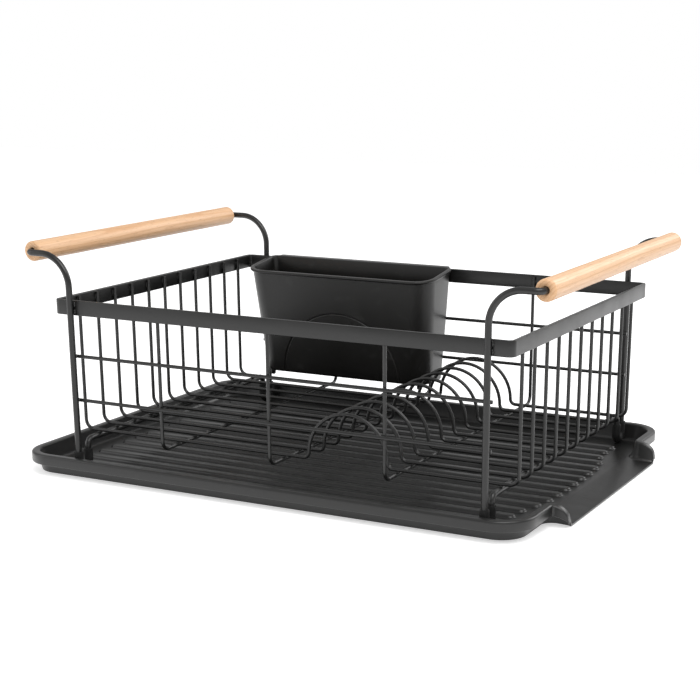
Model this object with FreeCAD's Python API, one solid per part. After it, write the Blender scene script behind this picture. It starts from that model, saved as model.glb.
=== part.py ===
"""Dish drying rack: a wire rack with wood grips and a cutlery caddy, standing in a drip tray.

X runs along the rack, Y from front to back and Z up.  The origin is on the table, under the
middle of the whole.  All sizes are millimetres.
"""

import FreeCAD, Part
import math
import os

Vector = FreeCAD.Vector

# ---- wire rack ------------------------------------------------------------------------------
BAND_LENGTH = 420.0
BAND_DEPTH = 314.0
BAND_HEIGHT = 12.7
BAND_THICKNESS = 3.0
BAND_CORNER_RADIUS = 6.0
BAND_TOP = 153.0
HEAVY_WIRE = 5.4
LIGHT_WIRE = 3.0
WELD_GAP = 0.05
RACK_CENTRE_X = 3.0

# ---- end loops, one closed ring of heavy wire at each end ---------------------------------------
LEG_SPACING = 381.4
GRIP_REACH = 41.3
GRIP_AXIS_RISE = 38.0
GRIP_BEND_RADIUS = 5.75
SHOULDER_RADIUS = 27.0
FOOT_PITCH = 13.2
RAIL_HEIGHT = 30.7
RAIL_BEND_RADIUS = 6.0

# ---- basket wires ---------------------------------------------------------------------------
CROSS_WIRE_COUNT = 11
CROSS_WIRE_PITCH = 25.6
FLOOR_RAIL_PITCH = 104.8
FLOOR_RAIL_SHIFT = -2.8
BASKET_BEND_RADIUS = 8.0
RISER_DROP = 1.5
SIDE_RAIL_DROPS = {"upper": 47.6, "lower": 85.6}
ARCH_CENTRE = 56.0
ARCH_HEIGHT = 40.2
ARCH_RADIUS = 36.0
ARCH_BASE_RADIUS = 5.0

# ---- wood grips ------------------------------------------------------------------------------
GRIP_DIAMETER = 17.0
GRIP_EDGE_RADIUS = 1.6
GRIP_BORE_CLEARANCE = 0.1
GRIP_END_PLAY = 0.3

# ---- rubber foot boots --------------------------------------------------------------------------
BOOT_WALL = 1.1
BOOT_HEIGHT = 18.5
BOOT_FLAT = 0.5
FOOT_GAP = 0.3

# ---- drip tray ---------------------------------------------------------------------------------
TRAY_LENGTH = 487.0
TRAY_DEPTH = 348.6
TRAY_HEIGHT = 19.0
TRAY_CORNER_RADIUS = 30.0
TRAY_WALL = 2.2
TRAY_STANDOFF = 1.5
TRAY_FLANGE_WIDTH = 7.0
TRAY_DRAFT = 3.0
TRAY_SKIRT_DROP = 9.0
TRAY_INNER_FILLET = 2.0
SPOUT_REACH = 13.0
SPOUT_WIDTH = 210.0
SPOUT_CHEEK_WALL = 6.0
SPOUT_TIP_CLEARANCE = 0.7
SPOUT_TIP_THICKNESS = 1.6
SPOUT_TIP_CHEEK_HEIGHT = 5.0
RIB_COUNT = 15
RIB_PITCH = 18.4
RIB_WIDTH = 8.6
RIB_HEIGHT = 2.2
RIB_TOP_RADIUS = 1.2
RIB_END_MARGIN_LEFT = 17.0
RIB_END_MARGIN_RIGHT = 22.0
RIB_SPOUT_EXTENSION = 12.0
TRAY_FOOT_DIAMETER = 9.0
TRAY_FOOT_INSETS = (36.0, 108.0)
TRAY_FOOT_INSET_Y = 26.0
TRAY_FOOT_SOCKET = 0.6

# ---- cutlery caddy -------------------------------------------------------------------------------
CADDY_WIDTH = 196.0
CADDY_DEPTH = 54.0
CADDY_HEIGHT = 101.0
CADDY_CENTRE_X = -78.5
CADDY_RIM_DROP = 5.3
CADDY_WALL = 2.0
CADDY_SIDE_DRAFT = 8.0
CADDY_FRONT_DRAFT = 13.0
CADDY_FRONT_RADIUS = 18.0
CADDY_BACK_RADIUS = 6.0
CADDY_RIM_WIDTH = 2.4
CADDY_RIM_THICKNESS = 2.6
CADDY_HOOK_LENGTH = 184.0
CADDY_HOOK_WALL = 1.8
CADDY_HOOK_DROP = 9.0
CADDY_CLEARANCE = 0.3
CADDY_FOOT_HEIGHT = 4.8
CADDY_FOOT_DIAMETER = 5.0
CADDY_SLOT_COUNT = 7
CADDY_SLOT_WIDTH = 4.0
CADDY_SLOT_PITCH = 22.0
CADDY_SLOT_MARGIN = 8.0
CADDY_ARCH_RADIUS = 63.0
CADDY_ARCH_GROOVE = 0.6
CADDY_ARCH_LINE = 1.6

# ---- places worked out from the sizes -----------------------------------------------------------
RAIL_TOP = RAIL_HEIGHT + HEAVY_WIRE / 2
FLOOR_RAIL_Z = RAIL_TOP - LIGHT_WIRE / 2
CROSS_WIRE_Z = RAIL_TOP + WELD_GAP + LIGHT_WIRE / 2
LEG_Y = BAND_DEPTH / 2 + WELD_GAP + HEAVY_WIRE / 2
SIDE_RAIL_Y = BAND_DEPTH / 2 - WELD_GAP - LIGHT_WIRE / 2
RISER_Y = min(BAND_DEPTH / 2 - BAND_THICKNESS, SIDE_RAIL_Y - LIGHT_WIRE / 2) - WELD_GAP - LIGHT_WIRE / 2
RISER_X = BAND_LENGTH / 2 - BAND_THICKNESS - WELD_GAP - LIGHT_WIRE / 2
RISER_TOP = BAND_TOP - RISER_DROP
GRIP_Z = BAND_TOP + GRIP_AXIS_RISE
GRIP_X = LEG_SPACING / 2 + GRIP_REACH
GRIP_HALF_LENGTH = LEG_Y - GRIP_BEND_RADIUS - GRIP_END_PLAY
TRAY_FLOOR_Z = TRAY_STANDOFF + TRAY_WALL
BOOT_SOLE_Z = TRAY_FLOOR_Z + FOOT_GAP
FOOT_Z = BOOT_SOLE_Z + HEAVY_WIRE / 2 + BOOT_WALL - BOOT_FLAT
TRAY_LEFT = -TRAY_LENGTH / 2
TRAY_RIGHT = TRAY_LENGTH / 2 - SPOUT_REACH


def line(start, end):
    """Return a straight edge."""
    return Part.LineSegment(start, end).toShape()


def bend(corner, before, after, radius):
    """Return (start, edge, end) of the arc that rounds a corner of a path."""
    towards_before = (before - corner).normalize()
    towards_after = (after - corner).normalize()
    half_angle = towards_before.getAngle(towards_after) / 2
    setback = radius / math.tan(half_angle)
    start = corner + towards_before * setback
    end = corner + towards_after * setback
    bisector = (towards_before + towards_after).normalize()
    middle = corner + bisector * (radius / math.sin(half_angle) - radius)
    return start, Part.Arc(start, middle, end).toShape(), end


def bent_path(points, radii):
    """Return a wire of straight runs joined by tangent arcs, one radius for each inner point."""
    edges = []
    last = points[0]
    for index, radius in enumerate(radii, start=1):
        start, arc, end = bend(points[index], points[index - 1], points[index + 1], radius)
        if last.distanceToPoint(start) > 1e-6:
            edges.append(line(last, start))
        edges.append(arc)
        last = end
    edges.append(line(last, points[-1]))
    return Part.Wire(edges)


def rod(path, diameter):
    """Return a solid round rod that follows a path."""
    first = path.OrderedEdges[0]
    start = path.OrderedVertexes[0].Point
    direction = first.tangentAt(first.FirstParameter)
    profile = Part.Wire(Part.makeCircle(diameter / 2, start, direction))
    return path.makePipeShell([profile], True, False)


def rounded_outline(x_low, x_high, y_low, y_high, radii, z):
    """Return a closed outline with rounded corners; radii go front-right, back-right, back-left,
    front-left."""
    corners = [Vector(x_high, y_low, z), Vector(x_high, y_high, z),
               Vector(x_low, y_high, z), Vector(x_low, y_low, z)]
    arcs = []
    for index, radius in enumerate(radii):
        arcs.append(bend(corners[index], corners[index - 1], corners[(index + 1) % 4], radius))
    edges = []
    for index, (start, arc, end) in enumerate(arcs):
        edges.append(arc)
        edges.append(line(end, arcs[(index + 1) % 4][0]))
    return Part.Wire(edges)


def slab(outline, height):
    """Return the outline raised to a solid."""
    return Part.Face(outline).extrude(Vector(0, 0, height))


def taper(lower, upper):
    """Return the solid between two outlines with the same corners."""
    return Part.makeLoft([lower, upper], True, True)


def box(x_low, x_high, y_low, y_high, z_low, z_high):
    """Return a box between two corners."""
    return Part.makeBox(x_high - x_low, y_high - y_low, z_high - z_low, Vector(x_low, y_low, z_low))


def edges_at(shape, z, condition=None):
    """Return the edges that lie level at height z and meet a condition on their middle point."""
    found = []
    for edge in shape.Edges:
        bounds = edge.BoundBox
        if abs(bounds.ZMin - z) < 1e-4 and abs(bounds.ZMax - z) < 1e-4:
            if condition is None or condition(edge.BoundBox.Center):
                found.append(edge)
    return found


# ---- the rack's wires -----------------------------------------------------------------------------
def rim_band():
    """Return the flat bar that runs round the top of the basket."""
    outer = (-BAND_LENGTH / 2, BAND_LENGTH / 2, -BAND_DEPTH / 2, BAND_DEPTH / 2)
    inner = (outer[0] + BAND_THICKNESS, outer[1] - BAND_THICKNESS,
             outer[2] + BAND_THICKNESS, outer[3] - BAND_THICKNESS)
    bottom = BAND_TOP - BAND_HEIGHT
    outside = slab(rounded_outline(*outer, [BAND_CORNER_RADIUS] * 4, bottom), BAND_HEIGHT)
    inner_radius = BAND_CORNER_RADIUS - BAND_THICKNESS
    inside = slab(rounded_outline(*inner, [inner_radius] * 4, bottom), BAND_HEIGHT)
    return outside.cut(inside)


def hairpin_points():
    """Return the two corners at the foot of a leg, seen in the plane of the leg."""
    return (-LEG_Y, FOOT_Z), (-LEG_Y + FOOT_PITCH, FOOT_Z)


def end_loop(side):
    """Return one end loop: side is 1 at the right and -1 at the left."""
    leg_x = side * LEG_SPACING / 2
    grip_x = side * GRIP_X
    (outer_y, foot_z), (inner_y, _) = hairpin_points()
    points = [Vector(grip_x, 0, GRIP_Z), Vector(grip_x, outer_y, GRIP_Z),
              Vector(leg_x, outer_y, GRIP_Z), Vector(leg_x, outer_y, foot_z),
              Vector(leg_x, inner_y, foot_z), Vector(leg_x, inner_y, RAIL_HEIGHT),
              Vector(leg_x, 0, RAIL_HEIGHT)]
    radii = [GRIP_BEND_RADIUS, SHOULDER_RADIUS, FOOT_PITCH / 2, FOOT_PITCH / 2, RAIL_BEND_RADIUS]
    front_half = rod(bent_path(points, radii), HEAVY_WIRE)
    back_half = front_half.mirror(Vector(0, 0, 0), Vector(0, 1, 0))
    return front_half.fuse(back_half).removeSplitter()


def floor_rail(x):
    """Return a U of light wire from the front of the band, under the floor, to the back."""
    points = [Vector(x, -RISER_Y, RISER_TOP), Vector(x, -RISER_Y, FLOOR_RAIL_Z),
              Vector(x, RISER_Y, FLOOR_RAIL_Z), Vector(x, RISER_Y, RISER_TOP)]
    return rod(bent_path(points, [BASKET_BEND_RADIUS] * 2), LIGHT_WIRE)


def side_rail(side, drop):
    """Return a straight wire across the front (side -1) or the back (side 1) of the basket."""
    half_length = LEG_SPACING / 2 + HEAVY_WIRE / 2
    start = Vector(-half_length, side * SIDE_RAIL_Y, BAND_TOP - drop)
    return Part.makeCylinder(LIGHT_WIRE / 2, 2 * half_length, start, Vector(1, 0, 0))


def arch_edges(y):
    """Return the plate arch: two base bends that turn up into one round top."""
    centre_z = CROSS_WIRE_Z + ARCH_HEIGHT - ARCH_RADIUS
    rise = centre_z - CROSS_WIRE_Z - ARCH_BASE_RADIUS
    reach = math.sqrt((ARCH_RADIUS + ARCH_BASE_RADIUS) ** 2 - rise ** 2)
    lean = math.atan2(rise, reach)
    edges = []
    for side in (-1, 1):
        base_x = ARCH_CENTRE + side * reach
        base_z = CROSS_WIRE_Z + ARCH_BASE_RADIUS
        foot = Vector(base_x, y, CROSS_WIRE_Z)
        half_turn = (math.pi / 2 + lean) / 2
        middle = Vector(base_x - side * ARCH_BASE_RADIUS * math.sin(half_turn), y,
                        base_z - ARCH_BASE_RADIUS * math.cos(half_turn))
        join = Vector(base_x - side * ARCH_BASE_RADIUS * math.cos(lean), y,
                      base_z + ARCH_BASE_RADIUS * math.sin(lean))
        edges.append((foot, middle, join))
    (left_foot, left_middle, left_join), (right_foot, right_middle, right_join) = edges
    top = Vector(ARCH_CENTRE, y, centre_z + ARCH_RADIUS)
    arcs = [Part.Arc(left_foot, left_middle, left_join).toShape(),
            Part.Arc(left_join, top, right_join).toShape(),
            Part.Arc(right_join, right_middle, right_foot).toShape()]
    return left_foot, arcs, right_foot


def cross_wire(y):
    """Return one wire that goes down the left end, over the floor and its arch, and up the right."""
    left_foot, arch, right_foot = arch_edges(y)
    left_top = Vector(-RISER_X, y, RISER_TOP)
    left_corner = Vector(-RISER_X, y, CROSS_WIRE_Z)
    right_corner = Vector(RISER_X, y, CROSS_WIRE_Z)
    right_top = Vector(RISER_X, y, RISER_TOP)
    start, left_bend, end = bend(left_corner, left_top, left_foot, BASKET_BEND_RADIUS)
    edges = [line(left_top, start), left_bend, line(end, left_foot)] + arch
    start, right_bend, end = bend(right_corner, right_foot, right_top, BASKET_BEND_RADIUS)
    edges += [line(right_foot, start), right_bend, line(end, right_top)]
    return rod(Part.Wire(edges), LIGHT_WIRE)


def foot_boot(side, end):
    """Return the rubber boot on one foot: side is 1 at the right, end is 1 at the back."""
    leg_x = side * LEG_SPACING / 2
    (outer_y, foot_z), (inner_y, _) = hairpin_points()
    boot_top = BOOT_SOLE_Z + BOOT_HEIGHT
    points = [Vector(leg_x, outer_y, boot_top), Vector(leg_x, outer_y, foot_z),
              Vector(leg_x, inner_y, foot_z), Vector(leg_x, inner_y, boot_top)]
    path = bent_path(points, [FOOT_PITCH / 2] * 2)
    boot = rod(path, HEAVY_WIRE + 2 * BOOT_WALL)
    reach = 2 * FOOT_PITCH
    sole_cut = box(leg_x - reach, leg_x + reach, outer_y - reach, inner_y + reach,
                   BOOT_SOLE_Z - reach, BOOT_SOLE_Z)
    boot = boot.cut(rod(path, HEAVY_WIRE)).cut(sole_cut)
    if end > 0:
        boot = boot.mirror(Vector(0, 0, 0), Vector(0, 1, 0))
    return boot


def wood_grip(side):
    """Return the wood dowel that turns on the top run of one end loop."""
    grip = Part.makeCylinder(GRIP_DIAMETER / 2, 2 * GRIP_HALF_LENGTH,
                             Vector(side * GRIP_X, -GRIP_HALF_LENGTH, GRIP_Z), Vector(0, 1, 0))
    end_edges = [edge for edge in grip.Edges if isinstance(edge.Curve, Part.Circle)]
    grip = grip.makeFillet(GRIP_EDGE_RADIUS, end_edges)
    bore = Part.makeCylinder(HEAVY_WIRE / 2 + GRIP_BORE_CLEARANCE, 2 * GRIP_HALF_LENGTH,
                             Vector(side * GRIP_X, -GRIP_HALF_LENGTH, GRIP_Z), Vector(0, 1, 0))
    return grip.cut(bore)


# ---- drip tray ------------------------------------------------------------------------------------
def tray_outline(inset, z):
    """Return the tray's outline, drawn in from the rim's outer edge by an inset."""
    radius = TRAY_CORNER_RADIUS - inset
    return rounded_outline(TRAY_LEFT + inset, TRAY_RIGHT - inset, -TRAY_DEPTH / 2 + inset,
                           TRAY_DEPTH / 2 - inset, [radius] * 4, z)


def tray_rim():
    """Return the flange that turns out from the wall and the skirt that hangs from it."""
    bottom = TRAY_HEIGHT - TRAY_SKIRT_DROP
    rim = slab(tray_outline(0, bottom), TRAY_SKIRT_DROP)
    rim = rim.makeFillet(TRAY_WALL * 0.9, edges_at(rim, TRAY_HEIGHT))
    hollow = slab(tray_outline(TRAY_WALL, bottom), TRAY_SKIRT_DROP - TRAY_WALL)
    return rim.cut(hollow)


def tray_rib(y):
    """Return one raised rib with round ends."""
    spout_half = SPOUT_WIDTH / 2 - RIB_PITCH / 2
    inner_left = TRAY_LEFT + TRAY_FLANGE_WIDTH + TRAY_DRAFT
    inner_right = TRAY_RIGHT - TRAY_FLANGE_WIDTH - TRAY_DRAFT
    left = inner_left + RIB_END_MARGIN_LEFT
    right = inner_right - RIB_END_MARGIN_RIGHT
    if abs(y) < spout_half:
        right += RIB_SPOUT_EXTENSION * (1 - (abs(y) / spout_half) ** 4)
    half_width = RIB_WIDTH / 2
    outline = rounded_outline(left, right, y - half_width, y + half_width,
                              [half_width * 0.98] * 4, TRAY_FLOOR_Z - TRAY_WALL / 2)
    rib = slab(outline, RIB_HEIGHT + TRAY_WALL / 2)
    return rib.makeFillet(RIB_TOP_RADIUS, edges_at(rib, TRAY_FLOOR_Z + RIB_HEIGHT))


def spout_floor():
    """Return the sloping sheet between the cheeks that pours past the end of the tray."""
    start = TRAY_RIGHT - TRAY_FLANGE_WIDTH - TRAY_DRAFT
    tip = TRAY_RIGHT + SPOUT_REACH
    tip_top = SPOUT_TIP_CLEARANCE + SPOUT_TIP_THICKNESS
    half_width = SPOUT_WIDTH / 2 + SPOUT_CHEEK_WALL
    profile = Part.makePolygon([
        Vector(start - TRAY_WALL, -half_width, TRAY_STANDOFF), Vector(start, -half_width, TRAY_STANDOFF),
        Vector(tip, -half_width, SPOUT_TIP_CLEARANCE), Vector(tip, -half_width, tip_top),
        Vector(start, -half_width, TRAY_FLOOR_Z), Vector(start - TRAY_WALL, -half_width, TRAY_FLOOR_Z),
        Vector(start - TRAY_WALL, -half_width, TRAY_STANDOFF)])
    return Part.Face(profile).extrude(Vector(0, 2 * half_width, 0))


def spout_cheek_block(inset):
    """Return the block of one cheek at the front side, drawn in from its faces by an inset."""
    start = TRAY_RIGHT - TRAY_FLANGE_WIDTH
    tip = TRAY_RIGHT + SPOUT_REACH - inset
    outer_y = -SPOUT_WIDTH / 2 - SPOUT_CHEEK_WALL + inset
    bottom = SPOUT_TIP_CLEARANCE
    top = TRAY_HEIGHT - inset
    tip_top = bottom + SPOUT_TIP_CHEEK_HEIGHT
    turn = Vector(tip - (tip - TRAY_RIGHT) * 0.25, outer_y, tip_top + (top - tip_top) * 0.72)
    shoulder = Vector(TRAY_RIGHT - 1.0, outer_y, top)
    edges = [line(Vector(start, outer_y, TRAY_STANDOFF), Vector(tip, outer_y, bottom)),
             line(Vector(tip, outer_y, bottom), Vector(tip, outer_y, tip_top)),
             Part.Arc(Vector(tip, outer_y, tip_top), turn, shoulder).toShape(),
             line(shoulder, Vector(start, outer_y, top)),
             line(Vector(start, outer_y, top), Vector(start, outer_y, TRAY_STANDOFF))]
    width = SPOUT_CHEEK_WALL - 2 * inset
    return Part.Face(Part.Wire(edges)).extrude(Vector(0, width, 0))


def drip_tray():
    """Return the moulded tray with its ribs and its pouring spout."""
    wall_top = TRAY_HEIGHT - TRAY_WALL / 2
    base_inset = TRAY_FLANGE_WIDTH + TRAY_DRAFT
    outside = taper(tray_outline(base_inset - TRAY_WALL, TRAY_STANDOFF),
                    tray_outline(TRAY_FLANGE_WIDTH - TRAY_WALL, wall_top))
    inside = taper(tray_outline(base_inset, TRAY_FLOOR_Z), tray_outline(TRAY_FLANGE_WIDTH, TRAY_HEIGHT))
    inside = inside.makeFillet(TRAY_INNER_FILLET, edges_at(inside, TRAY_FLOOR_Z))
    tray = outside.fuse(tray_rim()).cut(inside)
    half_spout = SPOUT_WIDTH / 2
    doorway = box(TRAY_RIGHT - base_inset - TRAY_INNER_FILLET, TRAY_RIGHT + SPOUT_REACH,
                  -half_spout, half_spout, 0, TRAY_HEIGHT + 1)
    cheek = spout_cheek_block(0)
    pieces = [cheek, cheek.mirror(Vector(0, 0, 0), Vector(0, 1, 0)), spout_floor()]
    floor_patch = box(TRAY_RIGHT - base_inset - TRAY_INNER_FILLET - 1, TRAY_RIGHT - base_inset,
                      -half_spout, half_spout, TRAY_STANDOFF, TRAY_FLOOR_Z)
    first = -(RIB_COUNT - 1) / 2 * RIB_PITCH
    ribs = [tray_rib(first + index * RIB_PITCH) for index in range(RIB_COUNT)]
    tray = tray.cut(doorway).multiFuse(pieces + [floor_patch] + ribs)
    for socket in tray_foot_discs(TRAY_STANDOFF, TRAY_FOOT_SOCKET):
        tray = tray.cut(socket)
    return tray.removeSplitter()


def tray_foot_discs(z, height):
    """Return the discs of the tray's four feet, from a height z upwards."""
    discs = []
    for x in (TRAY_LEFT + TRAY_FOOT_INSETS[0], TRAY_LEFT + TRAY_FOOT_INSETS[1],
              TRAY_RIGHT - TRAY_FOOT_INSETS[1], TRAY_RIGHT - TRAY_FOOT_INSETS[0]):
        for side in (-1, 1):
            y = side * (TRAY_DEPTH / 2 - TRAY_FOOT_INSET_Y)
            discs.append(Part.makeCylinder(TRAY_FOOT_DIAMETER / 2, height, Vector(x, y, z)))
    return discs


# ---- cutlery caddy ------------------------------------------------------------------------------
def caddy_outline(height, grow):
    """Return the caddy's outline at a height above its base, with its walls moved out by grow."""
    base_z = BAND_TOP - CADDY_RIM_DROP - CADDY_HEIGHT
    share = 1 - height / CADDY_HEIGHT
    half_width = CADDY_WIDTH / 2 - CADDY_SIDE_DRAFT * share + grow
    back = caddy_back_y() + min(grow, 0)
    front = caddy_back_y() - CADDY_DEPTH + CADDY_FRONT_DRAFT * share - grow
    front_radius = CADDY_FRONT_RADIUS + grow
    back_radius = CADDY_BACK_RADIUS + grow
    return rounded_outline(CADDY_CENTRE_X - half_width, CADDY_CENTRE_X + half_width, front, back,
                           [front_radius, back_radius, back_radius, front_radius], base_z + height)


def caddy_back_y():
    """Return where the caddy's back wall stands, just clear of the risers behind it."""
    return RISER_Y - LIGHT_WIRE / 2 - CADDY_CLEARANCE


def caddy_hook():
    """Return the lip that goes up from the back wall, over the band and down behind it."""
    back = caddy_back_y()
    rim_z = BAND_TOP - CADDY_RIM_DROP
    under = BAND_TOP + CADDY_CLEARANCE
    top = under + CADDY_HOOK_WALL
    outer_y = BAND_DEPTH / 2 + CADDY_CLEARANCE + CADDY_HOOK_WALL
    x_low = CADDY_CENTRE_X - CADDY_HOOK_LENGTH / 2
    x_high = CADDY_CENTRE_X + CADDY_HOOK_LENGTH / 2
    riser = box(x_low, x_high, back - CADDY_HOOK_WALL, back, rim_z - CADDY_RIM_THICKNESS, top)
    bridge = box(x_low, x_high, back - CADDY_HOOK_WALL, outer_y, under, top)
    tongue = box(x_low, x_high, outer_y - CADDY_HOOK_WALL, outer_y, under - CADDY_HOOK_DROP, top)
    hook = riser.multiFuse([bridge, tongue]).removeSplitter()
    top_edges = edges_at(hook, top, lambda middle: abs(middle.x - CADDY_CENTRE_X) < 1)
    return hook.makeFillet(CADDY_HOOK_WALL * 0.8, top_edges)


def caddy_arch_groove():
    """Return the shallow half-round line that decorates the caddy's front."""
    base_z = BAND_TOP - CADDY_RIM_DROP - CADDY_HEIGHT
    front = caddy_back_y() - CADDY_DEPTH
    centre = Vector(CADDY_CENTRE_X, front, base_z)
    outer = Part.makeCylinder(CADDY_ARCH_RADIUS, CADDY_DEPTH, centre, Vector(0, 1, 0))
    inner = Part.makeCylinder(CADDY_ARCH_RADIUS - CADDY_ARCH_LINE, CADDY_DEPTH, centre, Vector(0, 1, 0))
    depth = taper(caddy_outline(0, 0.1), caddy_outline(CADDY_HEIGHT, 0.1))
    core = taper(caddy_outline(0, -CADDY_ARCH_GROOVE), caddy_outline(CADDY_HEIGHT, -CADDY_ARCH_GROOVE))
    return outer.cut(inner).common(depth.cut(core))


def cutlery_caddy():
    """Return the moulded caddy that hangs on the back of the band."""
    base_z = BAND_TOP - CADDY_RIM_DROP - CADDY_HEIGHT
    shell = taper(caddy_outline(0, 0), caddy_outline(CADDY_HEIGHT, 0))
    inner_bottom = caddy_outline(CADDY_WALL, -CADDY_WALL)
    hollow = taper(inner_bottom, caddy_outline(CADDY_HEIGHT, -CADDY_WALL))
    rim = slab(caddy_outline(CADDY_HEIGHT, CADDY_RIM_WIDTH), -CADDY_RIM_THICKNESS)
    rim = rim.makeFillet(CADDY_RIM_THICKNESS * 0.35, edges_at(rim, base_z + CADDY_HEIGHT))
    caddy = shell.fuse(rim).fuse(caddy_hook()).cut(hollow).cut(caddy_arch_groove())
    bottom_back = caddy_back_y()
    bottom_front = bottom_back - CADDY_DEPTH + CADDY_FRONT_DRAFT
    for index in range(CADDY_SLOT_COUNT):
        x = CADDY_CENTRE_X + (index - (CADDY_SLOT_COUNT - 1) / 2) * CADDY_SLOT_PITCH
        outline = rounded_outline(x - CADDY_SLOT_WIDTH / 2, x + CADDY_SLOT_WIDTH / 2,
                                  bottom_front + CADDY_SLOT_MARGIN, bottom_back - CADDY_SLOT_MARGIN,
                                  [CADDY_SLOT_WIDTH / 2 * 0.98] * 4, base_z - 1)
        caddy = caddy.cut(slab(outline, CADDY_WALL + 2))
    for x_side in (-1, 1):
        x = CADDY_CENTRE_X + x_side * (CADDY_WIDTH / 2 - CADDY_SIDE_DRAFT - CADDY_FOOT_DIAMETER * 1.6)
        for y in (bottom_front + CADDY_FOOT_DIAMETER * 2, bottom_back - CADDY_FOOT_DIAMETER * 1.2):
            foot = Part.makeCylinder(CADDY_FOOT_DIAMETER / 2, CADDY_FOOT_HEIGHT + CADDY_WALL,
                                     Vector(x, y, base_z - CADDY_FOOT_HEIGHT))
            caddy = caddy.fuse(foot)
    return caddy.removeSplitter()


# ---- all pieces --------------------------------------------------------------------------------------
def rack_pieces():
    """Return the rack's pieces by name, with the rack's own middle at x = 0."""
    pieces = {"rim_band": rim_band(), "left_end_loop": end_loop(-1), "right_end_loop": end_loop(1),
              "left_grip": wood_grip(-1), "right_grip": wood_grip(1), "cutlery_caddy": cutlery_caddy()}
    for place, name in enumerate(("left", "middle", "right")):
        pieces[f"floor_rail_{name}"] = floor_rail(FLOOR_RAIL_SHIFT + (place - 1) * FLOOR_RAIL_PITCH)
    for side, face in ((-1, "front"), (1, "back")):
        for level, drop in SIDE_RAIL_DROPS.items():
            pieces[f"{face}_{level}_rail"] = side_rail(side, drop)
    first = -(CROSS_WIRE_COUNT - 1) / 2 * CROSS_WIRE_PITCH
    pattern = cross_wire(first)
    for index in range(CROSS_WIRE_COUNT):
        moved = pattern.copy()
        moved.translate(Vector(0, index * CROSS_WIRE_PITCH, 0))
        pieces[f"cross_wire_{index + 1:02d}"] = moved
    for side, side_name in ((-1, "left"), (1, "right")):
        for end, end_name in ((-1, "front"), (1, "back")):
            pieces[f"{side_name}_{end_name}_foot_boot"] = foot_boot(side, end)
    return pieces


def main():
    """Build every piece and write one file for each node."""
    os.makedirs("parts", exist_ok=True)
    pieces = {}
    for name, shape in rack_pieces().items():
        shape.translate(Vector(RACK_CENTRE_X, 0, 0))
        pieces[name] = shape
    pieces["drip_tray"] = drip_tray()
    pieces["tray_feet"] = Part.makeCompound(tray_foot_discs(0, TRAY_STANDOFF + TRAY_FOOT_SOCKET))
    for name, shape in pieces.items():
        shape.exportStep(f"parts/{name}.step")
        print(name, "solids", len(shape.Solids), "valid", shape.isValid(), "volume", round(shape.Volume))


main()
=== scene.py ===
"""Looks of a dish drying rack: a wire rack with wood grips, a cutlery caddy and a drip tray.

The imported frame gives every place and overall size. The classes below hold the sizes that the
frame does not state, such as bend radii and wall thicknesses, in metres.
"""

import logging
import math
import random
from dataclasses import dataclass
from enum import Enum

import bmesh
import bpy
from mathutils import Euler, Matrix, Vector


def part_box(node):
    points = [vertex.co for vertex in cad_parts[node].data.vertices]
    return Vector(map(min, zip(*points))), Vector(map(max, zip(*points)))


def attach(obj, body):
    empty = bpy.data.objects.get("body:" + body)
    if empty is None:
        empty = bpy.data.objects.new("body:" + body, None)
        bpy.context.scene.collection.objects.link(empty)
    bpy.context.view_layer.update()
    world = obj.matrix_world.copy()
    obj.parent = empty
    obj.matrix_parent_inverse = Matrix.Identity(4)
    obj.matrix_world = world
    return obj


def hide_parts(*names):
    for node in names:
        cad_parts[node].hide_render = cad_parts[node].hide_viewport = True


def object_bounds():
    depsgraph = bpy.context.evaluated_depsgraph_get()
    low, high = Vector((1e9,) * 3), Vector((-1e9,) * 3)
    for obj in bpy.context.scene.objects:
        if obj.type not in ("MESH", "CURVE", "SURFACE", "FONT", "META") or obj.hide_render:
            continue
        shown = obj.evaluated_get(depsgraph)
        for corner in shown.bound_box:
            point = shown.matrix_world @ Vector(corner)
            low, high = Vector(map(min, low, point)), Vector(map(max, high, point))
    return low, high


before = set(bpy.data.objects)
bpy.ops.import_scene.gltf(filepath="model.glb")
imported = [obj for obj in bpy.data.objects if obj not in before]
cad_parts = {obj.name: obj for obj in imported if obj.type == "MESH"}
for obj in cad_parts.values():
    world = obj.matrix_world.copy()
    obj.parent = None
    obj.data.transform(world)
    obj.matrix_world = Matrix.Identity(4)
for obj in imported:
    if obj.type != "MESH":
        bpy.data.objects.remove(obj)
CAD_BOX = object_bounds()
LOG = logging.getLogger("dish_rack")
MM = 0.001
ROUND_END = 0.999  # share of half a width that a full round end may take


class Slot(Enum):
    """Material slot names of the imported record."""

    WIRE = "powder_coat"
    WOOD = "grip_wood"
    TRAY = "tray_plastic"
    CADDY = "caddy_plastic"
    RUBBER = "rubber"


# ---- finishes ---------------------------------------------------------------------------------


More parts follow.
